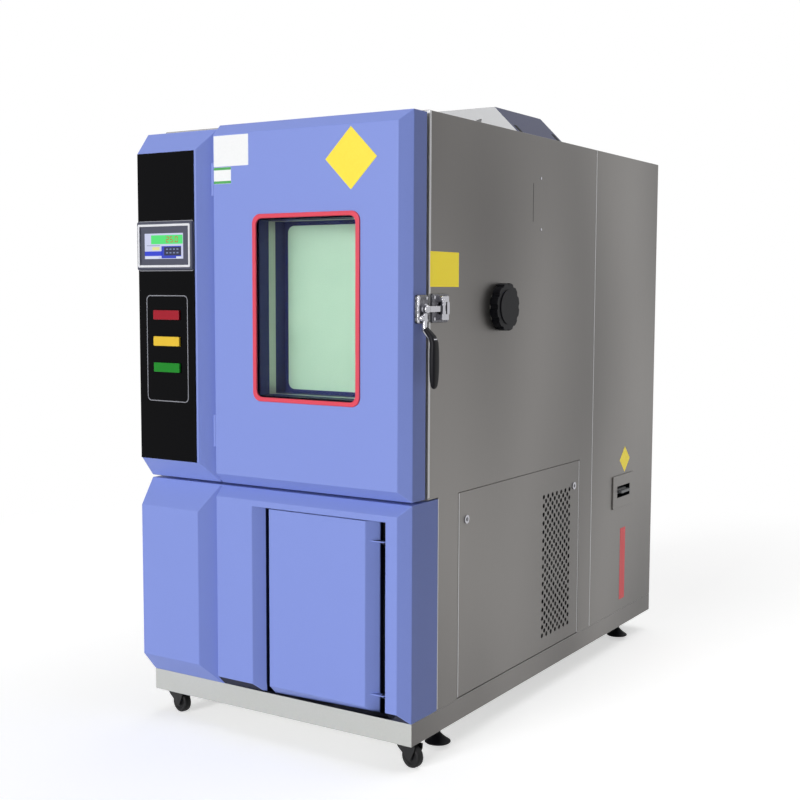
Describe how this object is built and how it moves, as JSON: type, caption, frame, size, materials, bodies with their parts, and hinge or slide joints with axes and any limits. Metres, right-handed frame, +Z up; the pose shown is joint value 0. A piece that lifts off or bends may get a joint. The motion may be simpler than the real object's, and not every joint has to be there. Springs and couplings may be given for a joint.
{
  "type": "environmental test chamber",
  "caption": "Floor-standing temperature and humidity test chamber with a windowed door, control column, lower access door, cable port and casters.",
  "frame": {"origin": "on the floor at the middle of the whole footprint, handle and front relief included", "axes": "+Z up, -Y to the front with the doors, +X to the side with the latch and cable port"},
  "size_m": [0.9558, 1.7566, 1.825],
  "materials": {
    "steel_side": "satin",
    "frame_paint": "satin",
    "blue_paint": "satin",
    "stainless": "brushed",
    "foam": "matte",
    "glass": "clear",
    "red_rubber": "matte",
    "seal_rubber": "matte",
    "black_plate": "gloss",
    "black_plastic": "satin",
    "chrome": "polished",
    "zinc": "satin",
    "dark_frame": "satin",
    "hood_paint": "satin",
    "red_plastic": "gloss",
    "yellow_plastic": "gloss",
    "green_plastic": "gloss",
    "screen": "gloss",
    "machine_black": "satin",
    "aluminium": "brushed",
    "tank_plastic": "satin",
    "wheel_rubber": "matte",
    "grey_plastic": "satin"
  },
  "bodies": {
    "cabinet": {"air_baffle": "stainless", "base_frame": "frame_paint", "breaker_housing": "black_plastic", "caster_plates": "zinc", "chamber_liner": "stainless", "compressors": "machine_black", "condenser": "aluminium", "control_column": "blue_paint", "control_plate": "black_plate", "controller_bezel": "black_plastic", "controller_display": "screen", "cooling_coil": "aluminium", "fan_motor": "machine_black", "front_frame": "stainless", "hinge_column_leaves": "zinc", "insulation": "foam", "latch_keeper": "chrome", "lower_fascia": "blue_paint", "lower_side_left": "steel_side", "lower_side_right": "steel_side", "port_sleeve": "stainless", "rear_shell": "steel_side", "rear_vent_panel": "steel_side", "roof_hood": "hood_paint", "shelf": "stainless", "upper_shell": "steel_side", "water_tank": "tank_plastic"},
    "main_door": {"door_skin": "blue_paint", "door_core": "stainless", "door_seal": "seal_rubber", "window_gasket": "red_rubber", "window_panes": "glass", "window_frame": "dark_frame", "hinge_door_leaves": "zinc", "latch_base": "chrome"},
    "latch_lever": {"latch_lever": "chrome", "latch_grip": "black_plastic"},
    "lower_door": {"lower_door": "blue_paint"},
    "access_panel": {"access_panel": "steel_side"},
    "panel_lock_front": {"panel_lock_front": "chrome"},
    "panel_lock_rear": {"panel_lock_rear": "chrome"},
    "port_plug": {"port_plug": "black_plastic"},
    "push_button_red": {"push_button_red": "red_plastic"},
    "push_button_yellow": {"push_button_yellow": "yellow_plastic"},
    "push_button_green": {"push_button_green": "green_plastic"},
    "breaker_toggle": {"breaker_toggle": "grey_plastic"},
    "fan_wheel": {"fan_wheel": "aluminium"},
    "condenser_fan": {"condenser_fan": "machine_black"},
    "caster_swivel_front_left": {"caster_fork_front_left": "zinc"},
    "caster_wheel_front_left": {"caster_wheel_front_left": "wheel_rubber"},
    "levelling_foot_front_left": {"levelling_foot_front_left": "black_plastic"},
    "caster_swivel_front_right": {"caster_fork_front_right": "zinc"},
    "caster_wheel_front_right": {"caster_wheel_front_right": "wheel_rubber"},
    "levelling_foot_front_right": {"levelling_foot_front_right": "black_plastic"},
    "caster_swivel_rear_left": {"caster_fork_rear_left": "zinc"},
    "caster_wheel_rear_left": {"caster_wheel_rear_left": "wheel_rubber"},
    "levelling_foot_rear_left": {"levelling_foot_rear_left": "black_plastic"},
    "caster_swivel_rear_right": {"caster_fork_rear_right": "zinc"},
    "caster_wheel_rear_right": {"caster_wheel_rear_right": "wheel_rubber"},
    "levelling_foot_rear_right": {"levelling_foot_rear_right": "black_plastic"}
  },
  "joints": [
    {"name": "main_door_hinge", "type": "hinge", "parent": "cabinet", "child": "main_door", "pos_m": [-0.2149, -0.84325, 1.2195], "axis": [0, 0, -1], "range_deg": [0, 110]},
    {"name": "latch_turn", "type": "hinge", "parent": "main_door", "child": "latch_lever", "pos_m": [0.4364, -0.79025, 1.2175], "axis": [-1, 0, 0], "range_deg": [0, 90]},
    {"name": "lower_door_hinge", "type": "hinge", "parent": "cabinet", "child": "lower_door", "pos_m": [0.3471, -0.83325, 0.4], "axis": [0, 0, 1], "range_deg": [0, 90]},
    {"name": "access_panel_lift_off", "type": "slide", "parent": "cabinet", "child": "access_panel", "axis": [1, 0, 0], "range_m": [0, 0.06]},
    {"name": "panel_lock_front_turn", "type": "hinge", "parent": "access_panel", "child": "panel_lock_front", "pos_m": [0.4281, -0.53925, 0.6335], "axis": [1, 0, 0], "range_deg": [0, 90]},
    {"name": "panel_lock_rear_turn", "type": "hinge", "parent": "access_panel", "child": "panel_lock_rear", "pos_m": [0.4281, 0.17475, 0.6335], "axis": [-1, 0, 0], "range_deg": [0, 90]},
    {"name": "port_plug_pull", "type": "slide", "parent": "cabinet", "child": "port_plug", "axis": [1, 0, 0], "range_m": [0, 0.08]},
    {"name": "breaker_toggle_turn", "type": "hinge", "parent": "cabinet", "child": "breaker_toggle", "pos_m": [0.4161, 0.59075, 0.562], "axis": [0, 1, 0], "range_deg": [-25, 25]},
    {"name": "fan_wheel_spin", "type": "hinge", "parent": "cabinet", "child": "fan_wheel", "pos_m": [0.0921, -0.02925, 1.5645], "axis": [0, 0, 1], "continuous": true},
    {"name": "condenser_fan_spin", "type": "hinge", "parent": "cabinet", "child": "condenser_fan", "pos_m": [-0.0249, 0.74125, 0.562], "axis": [0, 1, 0], "continuous": true},
    {"name": "push_button_red_press", "type": "slide", "parent": "cabinet", "child": "push_button_red", "axis": [0, 1, 0], "range_m": [0, 0.004], "stiffness_N_per_m": 600, "springref_m": -0.001},
    {"name": "push_button_yellow_press", "type": "slide", "parent": "cabinet", "child": "push_button_yellow", "axis": [0, 1, 0], "range_m": [0, 0.004], "stiffness_N_per_m": 600, "springref_m": -0.001},
    {"name": "push_button_green_press", "type": "slide", "parent": "cabinet", "child": "push_button_green", "axis": [0, 1, 0], "range_m": [0, 0.004], "stiffness_N_per_m": 600, "springref_m": -0.001},
    {"name": "caster_swivel_front_left", "type": "hinge", "parent": "cabinet", "child": "caster_swivel_front_left", "pos_m": [-0.4329, -0.77825, 0.0667], "axis": [0, 0, 1], "continuous": true},
    {"name": "caster_roll_front_left", "type": "hinge", "parent": "caster_swivel_front_left", "child": "caster_wheel_front_left", "pos_m": [-0.40926, -0.78242, 0.031], "axis": [0.1736, 0.9848, 0], "continuous": true},
    {"name": "caster_swivel_front_right", "type": "hinge", "parent": "cabinet", "child": "caster_swivel_front_right", "pos_m": [0.3831, -0.77825, 0.0667], "axis": [0, 0, 1], "continuous": true},
    {"name": "caster_roll_front_right", "type": "hinge", "parent": "caster_swivel_front_right", "child": "caster_wheel_front_right", "pos_m": [0.40674, -0.78242, 0.031], "axis": [0.1736, 0.9848, 0], "continuous": true},
    {"name": "caster_swivel_rear_left", "type": "hinge", "parent": "cabinet", "child": "caster_swivel_rear_left", "pos_m": [-0.2079, 0.57675, 0.0667], "axis": [0, 0, 1], "continuous": true},
    {"name": "caster_roll_rear_left", "type": "hinge", "parent": "caster_swivel_rear_left", "child": "caster_wheel_rear_left", "pos_m": [-0.18427, 0.57258, 0.031], "axis": [0.1736, 0.9848, 0], "continuous": true},
    {"name": "caster_swivel_rear_right", "type": "hinge", "parent": "cabinet", "child": "caster_swivel_rear_right", "pos_m": [0.1581, 0.57675, 0.0667], "axis": [0, 0, 1], "continuous": true},
    {"name": "caster_roll_rear_right", "type": "hinge", "parent": "caster_swivel_rear_right", "child": "caster_wheel_rear_right", "pos_m": [0.18174, 0.57258, 0.031], "axis": [0.1736, 0.9848, 0], "continuous": true},
    {"name": "levelling_foot_front_left_height", "type": "slide", "parent": "cabinet", "child": "levelling_foot_front_left", "axis": [0, 0, 1], "range_m": [-0.011, 0.018]},
    {"name": "levelling_foot_rear_left_height", "type": "slide", "parent": "cabinet", "child": "levelling_foot_rear_left", "axis": [0, 0, 1], "range_m": [-0.011, 0.018]},
    {"name": "levelling_foot_front_right_height", "type": "slide", "parent": "cabinet", "child": "levelling_foot_front_right", "axis": [0, 0, 1], "range_m": [-0.011, 0.018]},
    {"name": "levelling_foot_rear_right_height", "type": "slide", "parent": "cabinet", "child": "levelling_foot_rear_right", "axis": [0, 0, 1], "range_m": [-0.011, 0.018]}
  ]
}
